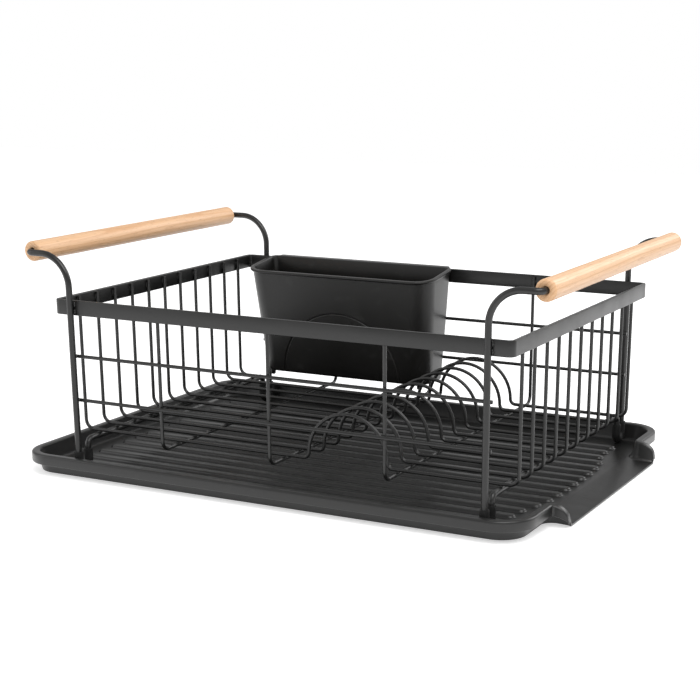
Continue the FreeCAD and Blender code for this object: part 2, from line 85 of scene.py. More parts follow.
class NodeBench:
    """A short way to lay out the nodes of one material or world."""

    def __init__(self, owner: bpy.types.ID) -> None:
        """Clear the owner's node tree and keep it.

        Args:
            owner: the material or world whose nodes are laid out.
        """
        owner.use_nodes = True
        self.tree = owner.node_tree
        self.tree.nodes.clear()

    def add(self, kind: str, inputs: dict | None = None, **settings: object) -> bpy.types.Node:
        """Add a node, set its options, and set or link its inputs.

        Args:
            kind: the node's Blender type name.
            inputs: socket name or number to a value or an output socket.
            settings: attributes of the node.

        Returns:
            The new node.
        """
        node = self.tree.nodes.new(kind)
        for key, value in settings.items():
            setattr(node, key, value)
        for key, value in (inputs or {}).items():
            if isinstance(value, bpy.types.NodeSocket):
                self.tree.links.new(value, node.inputs[key])
            else:
                node.inputs[key].default_value = value
        return node

    def place(self, offset: Vector = Vector(), scale: tuple = (1, 1, 1)) -> bpy.types.NodeSocket:
        """Shift and stretch the surface's own coordinates.

        Args:
            offset: the point that becomes the origin.
            scale: stretch along each axis.

        Returns:
            The coordinates' socket.
        """
        here = self.add("ShaderNodeTexCoord").outputs["Object"]
        moved = self.add("ShaderNodeVectorMath", {0: here, 1: offset}, operation="SUBTRACT").outputs[0]
        return self.add("ShaderNodeVectorMath", {0: moved, 1: scale}, operation="MULTIPLY").outputs[0]

    def noise(self, vector: bpy.types.NodeSocket, scale: float, detail: float = 2.0,
              distortion: float = 0.0) -> bpy.types.NodeSocket:
        """Read a noise.

        Args:
            vector: where the noise is read.
            scale: features per metre of the vector.
            detail: octaves.
            distortion: how far the noise folds on itself.

        Returns:
            A value from 0 to 1.
        """
        return self.add("ShaderNodeTexNoise", {"Vector": vector, "Scale": scale, "Detail": detail,
                                               "Distortion": distortion}).outputs["Fac"]

    def ramp(self, value: bpy.types.NodeSocket, low: float, high: float, to_low: float,
             to_high: float) -> bpy.types.NodeSocket:
        """Carry a value smoothly from one range to another, and hold it at the ends.

        Args:
            value: what is carried.
            low: where the first range starts.
            high: where it ends.
            to_low: where the second range starts.
            to_high: where it ends.

        Returns:
            The carried value.
        """
        return self.add("ShaderNodeMapRange", {"Value": value, "From Min": low, "From Max": high,
                                               "To Min": to_low, "To Max": to_high},
                        interpolation_type="SMOOTHSTEP").outputs["Result"]

    def math(self, operation: str, first: object, second: object) -> bpy.types.NodeSocket:
        """Return the result of one sum of two values."""
        return self.add("ShaderNodeMath", {0: first, 1: second}, operation=operation).outputs[0]

    def mix(self, share: object, first: object, second: object) -> bpy.types.NodeSocket:
        """Mix two colours.

        Args:
            share: from 0 for the first to 1 for the second.
            first: a colour or a socket.
            second: a colour or a socket.

        Returns:
            The mixed colour.
        """
        node = self.add("ShaderNodeMix", data_type="RGBA")
        for socket, value in zip((node.inputs[0], node.inputs[6], node.inputs[7]), (share, first, second)):
            if isinstance(value, bpy.types.NodeSocket):
                self.tree.links.new(value, socket)
            else:
                socket.default_value = value
        return node.outputs[2]

    def bump(self, height: bpy.types.NodeSocket, depth: float, strength: float = 1.0,
             normal: bpy.types.NodeSocket | None = None) -> bpy.types.NodeSocket:
        """Bend the normal by a height.

        Args:
            height: from 0 to 1.
            depth: what a height of 1 stands for, in metres.
            strength: share of the effect.
            normal: an earlier bump to build on.

        Returns:
            The bent normal.
        """
        inputs = {"Height": height, "Distance": depth, "Strength": strength}
        if normal is not None:
            inputs["Normal"] = normal
        return self.add("ShaderNodeBump", inputs).outputs["Normal"]

    def surface(self, **inputs: object) -> None:
        """Finish a material with one Principled shader; underscores in names stand for spaces."""
        shader = self.add("ShaderNodeBsdfPrincipled", {key.replace("_", " "): value
                                                       for key, value in inputs.items()})
        self.add("ShaderNodeOutputMaterial", {"Surface": shader.outputs["BSDF"]})


def linear(red: int, green: int, blue: int) -> tuple[float, float, float, float]:
    """Return a colour written from 0 to 255 as the linear colour that the shader takes."""
    return tuple((c / 255) ** 2.2 for c in (red, green, blue)) + (1.0,)


@dataclass(frozen=True)
class PowderCoat:
    """Black powder coat baked on steel: orange peel, fine pits and a little unevenness of gloss."""

    name: str = "powder_coat_black"
    dark: tuple = linear(22, 22, 22)
    light: tuple = linear(34, 34, 33)
    gloss_low: float = 0.30
    gloss_high: float = 0.42
    peel: float = 700.0
    peel_depth: float = 0.05 * MM
    pit: float = 4200.0

    def build(self) -> bpy.types.Material:
        """Return the material."""
        material = bpy.data.materials.new(self.name)
        bench = NodeBench(material)
        here = bench.place()
        peel = bench.noise(here, self.peel, 2.0)
        pits = bench.noise(here, self.pit, 1.0)
        cloud = bench.noise(here, 28.0, 3.0)
        dust = bench.ramp(pits, 0.60, 0.78, 0.0, 1.0)
        colour = bench.mix(bench.math("MULTIPLY", cloud, 0.6), self.dark, self.light)
        colour = bench.mix(bench.math("MULTIPLY", dust, 0.35), colour, self.light)
        rough = bench.ramp(bench.math("ADD", cloud, bench.math("MULTIPLY", dust, 0.3)), 0.3, 0.9,
                           self.gloss_low, self.gloss_high)
        normal = bench.bump(peel, self.peel_depth, 0.55)
        normal = bench.bump(pits, self.peel_depth * 0.3, 0.35, normal)
        bench.surface(Base_Color=colour, Roughness=rough, Normal=normal, Specular_IOR_Level=0.55)
        return material


@dataclass(frozen=True)
class MouldedPlastic:
    """Black moulded plastic with a fine spark-eroded grain, flow marks and scuffs."""

    name: str
    dark: tuple
    light: tuple
    gloss_low: float
    gloss_high: float
    grain: float = 2600.0
    grain_depth: float = 0.035 * MM
    flow: tuple = (3.0, 14.0, 14.0)

    def build(self) -> bpy.types.Material:
        """Return the material."""
        material = bpy.data.materials.new(self.name)
        bench = NodeBench(material)
        here = bench.place()
        grain = bench.noise(here, self.grain, 2.0)
        flow = bench.noise(bench.place(scale=self.flow), 1.0, 4.0, 0.6)
        scuff = bench.noise(bench.place(scale=(1.0, 7.0, 1.0)), 60.0, 5.0)
        scuff = bench.ramp(scuff, 0.60, 0.74, 0.0, 1.0)
        colour = bench.mix(bench.math("MULTIPLY", flow, 0.7), self.dark, self.light)
        colour = bench.mix(bench.math("MULTIPLY", scuff, 0.12), colour, linear(72, 72, 71))
        gloss = bench.math("ADD", flow, bench.math("MULTIPLY", scuff, 0.2))
        rough = bench.ramp(gloss, 0.3, 0.85, self.gloss_low, self.gloss_high)
        normal = bench.bump(grain, self.grain_depth, 0.5)
        normal = bench.bump(flow, 0.4 * MM, 0.12, normal)
        bench.surface(Base_Color=colour, Roughness=rough, Normal=normal, Specular_IOR_Level=0.5)
        return material


@dataclass(frozen=True)
class LacqueredWood:
    """Turned hardwood cut from a log whose heart lies beside the dowel, so that its ends show rings."""

    name: str
    axis: Vector
    heart: Vector
    pale: tuple = linear(233, 190, 148)
    tan: tuple = linear(205, 152, 106)
    fleck: tuple = linear(140, 92, 56)
    ring_pitch: float = 2.6 * MM

    def build(self) -> bpy.types.Material:
        """Return the material."""
        material = bpy.data.materials.new(self.name)
        bench = NodeBench(material)
        local = bench.place(self.axis)
        wander = bench.noise(bench.place(self.axis, (1.0, 0.10, 1.0)), 34.0, 3.0)
        split = bench.add("ShaderNodeSeparateXYZ", {0: bench.place(self.axis + self.heart)}).outputs
        reach = bench.math("SQRT", bench.math("ADD", bench.math("POWER", split["X"], 2.0),
                                              bench.math("POWER", split["Z"], 2.0)), 0.0)
        rings = bench.math("ADD", bench.math("DIVIDE", reach, self.ring_pitch),
                           bench.math("MULTIPLY", wander, 2.6))
        phase = bench.math("FRACT", rings, 0.0)
        late = bench.ramp(phase, 0.45, 0.97, 0.0, 1.0)
        late = bench.math("MULTIPLY", late, bench.ramp(phase, 0.97, 1.0, 1.0, 0.0))
        fibre = bench.noise(bench.place(self.axis, (1.0, 0.022, 1.0)), 1500.0, 3.0)
        pores = bench.ramp(bench.noise(bench.place(self.axis, (1.0, 0.05, 1.0)), 2300.0, 1.0),
                           0.63, 0.74, 0.0, 1.0)
        cloud = bench.noise(local, 22.0, 2.0)
        colour = bench.mix(bench.math("MULTIPLY", late, 0.55), self.pale, self.tan)
        streak = bench.math("MULTIPLY", bench.ramp(fibre, 0.35, 0.75, 0.0, 1.0), 0.35)
        colour = bench.mix(streak, colour, self.tan)
        colour = bench.mix(bench.math("MULTIPLY", pores, 0.5), colour, self.fleck)
        colour = bench.mix(bench.math("MULTIPLY", cloud, 0.22), colour, self.tan)
        height = bench.math("SUBTRACT", bench.math("MULTIPLY", fibre, 0.5),
                            bench.math("MULTIPLY", pores, 0.8))
        normal = bench.bump(height, 0.09 * MM, 0.45)
        rough = bench.ramp(fibre, 0.2, 0.8, 0.36, 0.52)
        bench.surface(Base_Color=colour, Roughness=rough, Normal=normal, Coat_Weight=0.18,
                      Coat_Roughness=0.28)
        return material


@dataclass(frozen=True)
class SoftRubber:
    """Matt black rubber with a fine dusty tooth."""

    name: str = "soft_rubber_black"

    def build(self) -> bpy.types.Material:
        """Return the material."""
        material = bpy.data.materials.new(self.name)
        bench = NodeBench(material)
        here = bench.place()
        tooth = bench.noise(here, 3200.0, 2.0)
        dust = bench.noise(here, 240.0, 4.0)
        colour = bench.mix(bench.ramp(dust, 0.45, 0.75, 0.0, 0.5), linear(16, 16, 16), linear(40, 40, 39))
        rough = bench.ramp(dust, 0.3, 0.8, 0.62, 0.85)
        bench.surface(Base_Color=colour, Roughness=rough, Normal=bench.bump(tooth, 0.05 * MM, 0.5))
        return material


@dataclass(frozen=True)
class PaleFloor:
    """White sweep under the object: it takes the object's shadow and goes on into the background."""

    name: str = "pale_floor"
    top_up: float = 0.55

    def build(self) -> bpy.types.Material:
        """Return the material."""
        material = bpy.data.materials.new(self.name)
        bench = NodeBench(material)
        rays = bench.add("ShaderNodeLightPath").outputs
        seen = bench.math("MAXIMUM", rays["Is Camera Ray"],
                          bench.math("MAXIMUM", rays["Is Glossy Ray"], rays["Is Transmission Ray"]))
        cloth = bench.add("ShaderNodeBsdfDiffuse", {"Color": (0.86, 0.86, 0.86, 1.0)})
        glow = bench.add("ShaderNodeEmission", {"Color": (1, 1, 1, 1),
                                                "Strength": bench.math("MULTIPLY", seen, self.top_up)})
        both = bench.add("ShaderNodeAddShader", {0: cloth.outputs[0], 1: glow.outputs[0]})
        bench.add("ShaderNodeOutputMaterial", {"Surface": both.outputs[0]})
        return material


# ---- mesh helpers ---------------------------------------------------------------------------------


def add_piece(name: str, mesh: bmesh.types.BMesh, finish: bpy.types.Material, body: str,
              replaced: tuple[str, ...] = (), crease: float = 35.0) -> bpy.types.Object:
    """Turn a bmesh into a dressed piece that rides on a body.

    Args:
        name: the piece's name.
        mesh: its geometry, which is freed.
        finish: its material.
        body: the CAD body that it moves with.
        replaced: CAD nodes that it stands for.
        crease: faces that meet at less than this angle, in degrees, shade smoothly.

    Returns:
        The new object.
    """
    bmesh.ops.recalc_face_normals(mesh, faces=mesh.faces)
    data = bpy.data.meshes.new(name)
    mesh.to_mesh(data)
    mesh.free()
    data.shade_smooth()
    data.set_sharp_from_angle(angle=math.radians(crease))
    data.materials.append(finish)
    piece = bpy.data.objects.new(name, data)
    bpy.context.scene.collection.objects.link(piece)
    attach(piece, body)
    if replaced:
        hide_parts(*replaced)
    LOG.info("piece %s: %d faces", name, len(data.polygons))
    return piece


def round_corner(before: Vector, corner: Vector, after: Vector, radius: float, steps: int) -> list[Vector]:
    """Return the points of the arc that rounds a corner.

    Args:
        before: the point before the corner.
        corner: the corner itself.
        after: the point after it.
        radius: the arc's radius.
        steps: how many chords the arc gets.

    Returns:
        The arc's points.
    """
    to_before = (before - corner).normalized()
    to_after = (after - corner).normalized()
    half = to_before.angle(to_after) / 2
    centre = corner + (to_before + to_after).normalized() * (radius / math.sin(half))
    start = corner + to_before * (radius / math.tan(half)) - centre
    end = corner + to_after * (radius / math.tan(half)) - centre
    turn = math.pi - 2 * half
    return [centre + (start * math.sin(turn * (1 - k / steps)) + end * math.sin(turn * k / steps))
            / math.sin(turn) for k in range(steps + 1)]


def rounded_path(points: list[Vector], radii: list[float], steps: int, closed: bool = False) -> list[Vector]:
    """Round each corner of a path; an open path keeps its two ends sharp.

    Args:
        points: the path's corners.
        radii: one radius for each corner that is rounded.
        steps: how many chords each corner gets.
        closed: whether the path ends where it begins.

    Returns:
        The rounded path's points.
    """
    if closed:
        count = len(points)
        corners = [(points[i - 1], points[i], points[(i + 1) % count]) for i in range(count)]
        return [p for trio, radius in zip(corners, radii) for p in round_corner(*trio, radius, steps)]
    found = [points[0]]
    for index, radius in enumerate(radii, start=1):
        found += round_corner(points[index - 1], points[index], points[index + 1], radius, steps)
    return found + [points[-1]]


def rounded_rectangle(low: Vector, high: Vector, radii: list[float], z: float,
                      steps: int = 10) -> list[Vector]:
    """Return the closed outline of a rectangle with round corners.

    Args:
        low: its front left corner.
        high: its back right corner.
        radii: of the front-right, back-right, back-left and front-left corners.
        z: its height.
        steps: how many chords each corner gets.

    Returns:
        The outline's points.
    """
    corners = [Vector((high.x, low.y, z)), Vector((high.x, high.y, z)),
               Vector((low.x, high.y, z)), Vector((low.x, low.y, z))]
    return rounded_path(corners, radii, steps, closed=True)


def join_loops(mesh: bmesh.types.BMesh, loops: list[list[bmesh.types.BMVert]], closed: bool = True) -> None:
    """Fill the bands between one row of vertices and the next.

    Args:
        mesh: the mesh to fill.
        loops: rows of as many vertices each.
        closed: whether each row ends where it begins.
    """
    for first, second in zip(loops, loops[1:]):
        count = len(first)
        for i in range(count if closed else count - 1):
            j = (i + 1) % count
            mesh.faces.new((first[i], first[j], second[j], second[i]))


def stack(mesh: bmesh.types.BMesh, outlines: list[list[Vector]], cap_first: bool = True,
          cap_last: bool = True) -> None:
    """Join closed outlines in order into one skin, and close its two ends.

    Args:
        mesh: the mesh to add to.
        outlines: outlines of as many points each.
        cap_first: whether the first outline is filled.
        cap_last: whether the last one is.
    """
    loops = [[mesh.verts.new(p) for p in outline] for outline in outlines]
    join_loops(mesh, loops)
    if cap_first:
        mesh.faces.new(loops[0])
    if cap_last:
        mesh.faces.new(loops[-1])


def sweep_tube(mesh: bmesh.types.BMesh, path: list[Vector], radius: float, sides: int = 20) -> None:
    """Add a round closed-ended tube that follows a path without twisting.

    Args:
        mesh: the mesh to add to.
        path: the tube's middle line.
        radius: the tube's radius.
        sides: how many faces it has round.
    """
    loops = []
    side = path[1] - path[0]
    across = side.orthogonal().normalized()
    for index, point in enumerate(path):
        ahead = path[min(index + 1, len(path) - 1)] - point
        behind = point - path[max(index - 1, 0)]
        along = (ahead.normalized() + behind.normalized()).normalized()
        across = (across - along * across.dot(along)).normalized()
        up = along.cross(across)
        loops.append([mesh.verts.new(point + (across * math.cos(a) + up * math.sin(a)) * radius)
                      for a in (2 * math.pi * k / sides for k in range(sides))])
    join_loops(mesh, loops)
    mesh.faces.new(loops[0])
    mesh.faces.new(loops[-1])


def carve(piece: bpy.types.Object, cutter: bmesh.types.BMesh) -> None:
    """Cut a shape out of a piece and leave no modifier behind.

    Args:
        piece: the piece that is cut.
        cutter: the shape, which is freed.
    """
    bmesh.ops.recalc_face_normals(cutter, faces=cutter.faces)
    data = bpy.data.meshes.new("cutter")
    cutter.to_mesh(data)
    cutter.free()
    tool = bpy.data.objects.new("cutter", data)
    bpy.context.scene.collection.objects.link(tool)
    step = piece.modifiers.new("carve", "BOOLEAN")
    step.object = tool
    step.solver = "EXACT"
    bpy.context.view_layer.update()
    carved = bpy.data.meshes.new_from_object(piece.evaluated_get(bpy.context.evaluated_depsgraph_get()))
    piece.modifiers.clear()
    piece.data = carved
    bpy.data.objects.remove(tool)


# ---- the rack --------------------------------------------------------------------------------------


@dataclass
class RimBand:
    """The flat bar round the top of the basket, with its edges eased by the coating."""

    finish: bpy.types.Material
    corner_radius: float = 6.0 * MM
    thickness: float = 3.0 * MM
    edge: float = 0.7 * MM

    def build(self) -> None:
        """Sweep the bar's rounded section round the basket."""
        low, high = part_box("rim_band")
        section = []
        half = self.thickness / 2
        for k in range(4):
            centre = Vector(((half - self.edge) * (1, 1, -1, -1)[k], (1, -1, -1, 1)[k]))
            for step in range(4):
                angle = math.pi / 2 * (1 - k) + math.pi / 2 * (0 - step / 3)
                section.append((centre.x + self.edge * math.cos(angle), centre.y,
                                self.edge * math.sin(angle)))
        mesh = bmesh.new()
        outlines = []
        for across, level, lift in section:
            inset = half - across
            z = (high.z - self.edge if level > 0 else low.z + self.edge) + lift
            inset_box = Vector((inset, inset, 0))
            radius = self.corner_radius - inset
            outlines.append(rounded_rectangle(low + inset_box, high - inset_box, [radius] * 4, z, 12))
        loops = [[mesh.verts.new(p) for p in outline] for outline in outlines]
        join_loops(mesh, loops + [loops[0]])
        add_piece("rim_band_coated", mesh, self.finish, "rack", ("rim_band",))


@dataclass
class WeldBeads:
    """The small lumps that resistance welds leave where wires cross or meet the band."""

    finish: bpy.types.Material
    heavy_wire: float = 5.4 * MM
    seed: int = 7

    def build(self) -> None:
        """Put one bead at each crossing that the boxes of the CAD wires show."""
        rng = random.Random(self.seed)
        mesh = bmesh.new()
        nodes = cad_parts
        crosses = [n for n in nodes if n.startswith("cross_wire")]
        rails = [n for n in nodes if n.startswith("floor_rail")]
        loops = ["left_end_loop", "right_end_loop"]
        sides = [n for n in nodes if n.endswith("_rail") and not n.startswith("floor")]
        band_low, band_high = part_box("rim_band")
        count = 0
        for name in crosses:
            low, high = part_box(name)
            y = (low.y + high.y) / 2
            for rail in rails:
                rail_low, rail_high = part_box(rail)
                x = (rail_low.x + rail_high.x) / 2
                self.bead(mesh, rng, Vector((x, y, low.z)), (1.9, 1.9, 0.7))
                count += 1
            for loop in loops:
                x = self.leg_x(loop)
                self.bead(mesh, rng, Vector((x, y, low.z)), (2.2, 1.9, 0.7))
                count += 1
            for x in (low.x, high.x):
                self.bead(mesh, rng, Vector((x, y, high.z - 4.5 * MM)), (0.7, 1.7, 3.0))
                count += 1
        for rail in rails:
            low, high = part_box(rail)
            x = (low.x + high.x) / 2
            for y in (low.y, high.y):
                self.bead(mesh, rng, Vector((x, y, high.z - 4.5 * MM)), (1.7, 0.7, 3.0))
                for side in sides:
                    side_low, side_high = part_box(side)
                    if (side_low.y < 0) == (y < 0):
                        self.bead(mesh, rng, Vector((x, y, (side_low.z + side_high.z) / 2)), (1.7, 0.7, 1.7))
                count += 3
        for loop in loops:
            x = self.leg_x(loop)
            for y in (band_low.y, band_high.y):
                for side in sides:
                    side_low, side_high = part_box(side)
                    if (side_low.y < 0) == (y < 0):
                        self.bead(mesh, rng, Vector((x, y, (side_low.z + side_high.z) / 2)), (2.4, 0.8, 1.6))
                for edge_z in (band_low.z + 3.2 * MM, band_high.z - 3.2 * MM):
                    for shift in (-1, 1):
                        self.bead(mesh, rng, Vector((x + shift * self.heavy_wire * 0.42, y, edge_z)),
                                  (1.5, 1.0, 2.4))
                count += 6
        LOG.info("weld beads: %d", count)
        add_piece("weld_beads", mesh, self.finish, "rack", crease=80.0)

    def leg_x(self, loop: str) -> float:
        """Return where a loop's legs stand along the rack."""
        low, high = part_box(loop)
        inner = high.x if loop.startswith("left") else low.x
        return inner + (-1 if loop.startswith("left") else 1) * self.heavy_wire / 2

    def bead(self, mesh: bmesh.types.BMesh, rng: random.Random, centre: Vector,
             size: tuple[float, float, float]) -> None:
        """Add one lump.

        Args:
            mesh: the mesh to add to.
            rng: the source of its small unevenness.
            centre: where it stands.
            size: its half sizes in millimetres.
        """
        made = bmesh.ops.create_icosphere(mesh, subdivisions=2, radius=1.0)["verts"]
        stretch = [s * MM * rng.uniform(0.9, 1.1) for s in size]
        for vert in made:
            vert.co = centre + vert.co * Vector(stretch)


@dataclass
class WoodGrip:
    """A turned dowel with eased ends, drilled along its length for the wire."""

    node: str
    body: str
    heart: Vector
    edge: float = 1.8 * MM
    bore: float = 2.95 * MM
    sides: int = 72
    runs: int = 30

    def build(self) -> None:
        """Turn the dowel's profile round its axis."""
        low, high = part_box(self.node)
        radius = (high.x - low.x) / 2
        axis = Vector(((low.x + high.x) / 2, 0, (low.z + high.z) / 2))
        profile = [(self.bore, low.y + 4 * MM), (self.bore, low.y + 0.5 * MM), (self.bore + 0.5 * MM, low.y)]
        profile += [(radius - self.edge + self.edge * math.sin(a), low.y + self.edge * (1 - math.cos(a)))
                    for a in (math.pi / 2 * k / 8 for k in range(9))]
        reach = high.y - low.y - 2 * self.edge
        profile += [(radius - 0.06 * MM * math.sin(5.0 * math.pi * k / self.runs) ** 2,
                     low.y + self.edge + reach * k / self.runs) for k in range(1, self.runs)]
        profile += [(r, low.y + high.y - y) for r, y in reversed(profile[:12])]
        mesh = bmesh.new()
        loops = []
        for r, y in profile:
            loops.append([mesh.verts.new(axis + Vector((r * math.cos(a), y, r * math.sin(a))))
                          for a in (2 * math.pi * k / self.sides for k in range(self.sides))])
        join_loops(mesh, loops + [loops[0]])
        finish = LacqueredWood(f"{self.node}_wood", axis, self.heart).build()
        add_piece(f"{self.node}_turned", mesh, finish, self.body, (self.node,), crease=50.0)


# ---- the tray ----------------------------------------------------------------------------------------


@dataclass
class DripTray:
    """The moulded tray: floor, ribs, drafted wall, turned-out rim with its skirt, and spout."""

    finish: bpy.types.Material
    corner_radius: float = 30.0 * MM
    flange: float = 7.0 * MM
    draft: float = 3.0 * MM
    wall: float = 2.2 * MM
    skirt: float = 9.0 * MM
    standoff: float = 1.5 * MM
    spout_reach: float = 13.0 * MM
    spout_half: float = 105.0 * MM
    spout_turn: float = 9.0 * MM
    tip_height: float = 2.3 * MM
    tip_rim: float = 3.4 * MM
    rib_count: int = 15
    rib_pitch: float = 18.4 * MM
    rib_width: float = 8.6 * MM
    rib_height: float = 2.2 * MM
    rib_left: float = 17.0 * MM
    rib_right: float = 22.0 * MM
    rib_reach: float = 12.0 * MM

    def build(self) -> None:
        """Sweep the rim, close floor and underside, and add the ribs."""
        self.low, self.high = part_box("drip_tray")
        self.rim_x = self.high.x - self.spout_reach
        self.wall_x = self.rim_x - self.flange
        self.floor = self.standoff + self.wall
        mesh = bmesh.new()
        self.shell(mesh)
        first = -(self.rib_count - 1) / 2 * self.rib_pitch
        for index in range(self.rib_count):
            self.rib(mesh, first + index * self.rib_pitch)
        add_piece("drip_tray_moulded", mesh, self.finish, "tray", ("drip_tray",), crease=42.0)

    def rim_line(self) -> list[Vector]:
        """Return the rim's inner edge seen from above, from one tip of the spout to the other."""
        tip, back, left = self.high.x, self.high.y - self.flange, self.low.x + self.flange
        half = self.spout_half
        corners = [Vector((tip, half, 0)), Vector((self.wall_x, half, 0)), Vector((self.wall_x, back, 0)),
                   Vector((left, back, 0)), Vector((left, -back, 0)), Vector((self.wall_x, -back, 0)),
                   Vector((self.wall_x, -half, 0)), Vector((tip, -half, 0))]
        bend = self.corner_radius - self.flange
        line = rounded_path(corners, [self.spout_turn, bend, bend, bend, bend, self.spout_turn], 14)
        start = line[1].x
        extra = [Vector((tip + (start - tip) * k / 8, half, 0)) for k in range(1, 8)]
        return [line[0]] + extra + line[1:-1] + [Vector((p.x, -p.y, 0)) for p in reversed(extra)] + [line[-1]]

    def drop(self, x: float) -> float:
        """Return how far along the spout a place is, from 0 at the wall to 1 at the tip."""
        start = self.wall_x - self.draft
        return min(max((x - start) / (self.high.x - start), 0.0), 1.0)

    def rim_share(self, x: float) -> float:
        """Return how much of the rim's height is left at a place along the spout."""
        along = min(max((x - self.rim_x + 1 * MM) / (self.high.x - self.rim_x + 1 * MM), 0.0), 1.0)
        full = self.high.z - self.floor
        share = self.tip_rim / full
        return share + (1 - share) * math.sqrt(max(1 - along ** 2.2, 0.0))

    def profile(self) -> list[tuple[float, float]]:
        """Return the section of wall, rim and skirt as (outward from the inner edge, height)."""
        top, floor, base = self.high.z, self.floor, self.standoff
        rim_low = top - self.skirt
        points = [(-self.draft - 3.0 * MM, floor)]
        points += [(-self.draft - 3.0 * MM * (1 - math.sin(a)), floor + 3.0 * MM * (1 - math.cos(a)))
                   for a in (0.4, 0.8, 1.2)]
        points += [(-self.draft + 0.35 * MM, floor + 3.0 * MM), (-0.5 * MM, top - 1.6 * MM),
                   (-0.15 * MM, top - 0.7 * MM), (0.35 * MM, top - 0.18 * MM), (1.1 * MM, top),
                   (self.flange - 2.6 * MM, top)]
        points += [(self.flange - 2.0 * MM * (1 - math.sin(a)), top - 2.0 * MM * (1 - math.cos(a)))
                   for a in (0.25, 0.6, 0.95, 1.3)]
        points += [(self.flange, top - 2.2 * MM), (self.flange, rim_low + 0.5 * MM),
                   (self.flange - 0.35 * MM, rim_low + 0.1 * MM), (self.flange - 0.8 * MM, rim_low),
                   (self.flange - 1.7 * MM, rim_low + 0.2 * MM), (self.flange - 1.9 * MM, top - 2.4 * MM),
                   (2.4 * MM, top - 2.4 * MM), (2.0 * MM, top - 2.9 * MM)]
        points += [(-0.9 * MM, base + 2.2 * MM), (-1.3 * MM, base + 1.0 * MM), (-2.1 * MM, base + 0.25 * MM),
                   (-3.2 * MM, base)]
        return points

    def shell(self, mesh: bmesh.types.BMesh) -> None:
        """Add the wall, rim, floor and underside as one closed skin."""
        line = self.rim_line()
        rows = []
        for index, point in enumerate(line):
            ahead = line[min(index + 1, len(line) - 1)] - line[max(index - 1, 0)]
            heading = ahead.normalized()
            outward = Vector((heading.y, -heading.x, 0))
            drop, share = self.drop(point.x), self.rim_share(point.x)
            floor = self.floor + (self.tip_height - self.floor) * drop
            under = self.standoff + (self.low.z + 0.2 * MM - self.standoff) * drop
            row = []
            for out, height in self.profile():
                place = point + outward * out * (1 if share > 0.999 else 0.55 + 0.45 * share)
                if height >= self.floor:
                    z = floor + (height - self.floor) * share
                else:
                    z = under + (height - self.standoff) * share * 0.5
                row.append(mesh.verts.new((place.x, place.y, z)))
            rows.append(row)
        join_loops(mesh, rows, closed=False)
        self.close_plate(mesh, [row[0] for row in rows])
        self.close_plate(mesh, [row[-1] for row in rows])
        for row in (rows[0], rows[-1]):
            mesh.faces.new(row)
        mesh.faces.new((rows[0][0], rows[-1][0], rows[-1][-1], rows[0][-1]))

    def close_plate(self, mesh: bmesh.types.BMesh, edge: list[bmesh.types.BMVert]) -> None:
        """Fill a level plate, whose spout end is laid in rungs from one side to the other."""
        rungs = 0
        while edge[rungs + 1].co.x < edge[rungs].co.x - 1e-7:
            rungs += 1
        for k in range(rungs):
            mesh.faces.new((edge[k], edge[k + 1], edge[-2 - k], edge[-1 - k]))
        mesh.faces.new(edge[rungs:len(edge) - rungs])

    def rib(self, mesh: bmesh.types.BMesh, y: float) -> None:
        """Add one raised rib with round ends and soft feet."""
        half_spout = self.spout_half - self.rib_pitch / 2
        left = self.low.x + self.flange + self.draft + self.rib_left
        right = self.wall_x - self.draft - self.rib_right
        if abs(y) < half_spout:
            right += self.rib_reach * (1 - (abs(y) / half_spout) ** 4)
        outlines = []
        section = ((1.5, -0.03), (0.8, 0.12), (0.35, 0.5), (0.05, 1.1), (-0.3, 1.65), (-0.9, 2.05),
                   (-1.7, 2.18), (-2.6, 2.2))
        scale = self.rib_height / (2.2 * MM)
        for grow, rise in section:
            reach = self.rib_width / 2 + grow * MM
            low = Vector((left - grow * MM, y - reach, 0))
            high = Vector((right + grow * MM, y + reach, 0))
            outlines.append(rounded_rectangle(low, high, [reach * ROUND_END] * 4,
                                              self.floor + rise * MM * scale, 6))
        stack(mesh, outlines)


# ---- the caddy ---------------------------------------------------------------------------------------


